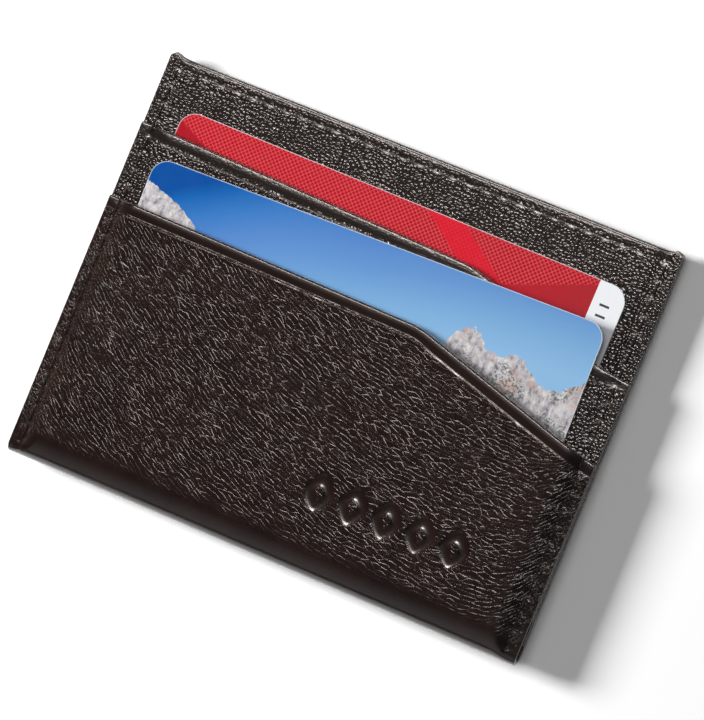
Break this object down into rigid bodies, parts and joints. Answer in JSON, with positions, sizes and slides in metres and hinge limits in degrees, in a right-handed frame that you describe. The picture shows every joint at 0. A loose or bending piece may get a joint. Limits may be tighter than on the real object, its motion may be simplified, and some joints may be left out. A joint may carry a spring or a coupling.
{
  "type": "card wallet",
  "caption": "Slim leather card wallet with stepped front pockets behind slanted mouths, an open centre pocket and bank cards that slide out.",
  "frame": {"origin": "centre of the footprint, at the back face the wallet lies on", "axes": "+X to the right along the top edge, +Y out of the pocket mouths, +Z out of the front face"},
  "size_m": [0.098, 0.075, 0.0067],
  "materials": {
    "cover_leather": "satin, drawn grain",
    "panel_leather": "satin, fine pebble grain",
    "lining_cloth": "fine twill",
    "stiffener_board": "raw",
    "padding": "bonded felt",
    "thread": "waxed polyester thread",
    "front_card_plastic": "gloss print",
    "middle_card_plastic": "gloss print",
    "chip_contacts": "satin plate",
    "stripe_film": "smooth film",
    "signature_film": "matte print"
  },
  "bodies": {
    "wallet": {"outer_cover": "cover_leather", "cover_lining": "lining_cloth", "back_stiffener": "stiffener_board", "front_pocket_padding": "padding", "middle_pocket_panel": "panel_leather", "middle_pocket_lining": "lining_cloth", "middle_pocket_padding": "padding", "rear_pocket_panel": "panel_leather", "rear_pocket_lining": "lining_cloth", "left_seam_thread": "thread", "right_seam_thread": "thread", "rear_panel_hem_thread": "thread", "cover_back_hem_thread": "thread", "middle_pocket_floor_thread": "thread"},
    "front_card": {"front_card_body": "front_card_plastic", "front_card_chip": "chip_contacts", "front_card_magnetic_stripe": "stripe_film", "front_card_signature_strip": "signature_film"},
    "middle_card": {"middle_card_body": "middle_card_plastic", "middle_card_chip": "chip_contacts", "middle_card_magnetic_stripe": "stripe_film", "middle_card_signature_strip": "signature_film"}
  },
  "joints": [
    {"name": "front_card_slide", "type": "slide", "parent": "wallet", "child": "front_card", "axis": [0, 1, 0], "range_m": [0, 0.05]},
    {"name": "middle_card_slide", "type": "slide", "parent": "wallet", "child": "middle_card", "axis": [0, 1, 0], "range_m": [0, 0.052]}
  ]
}
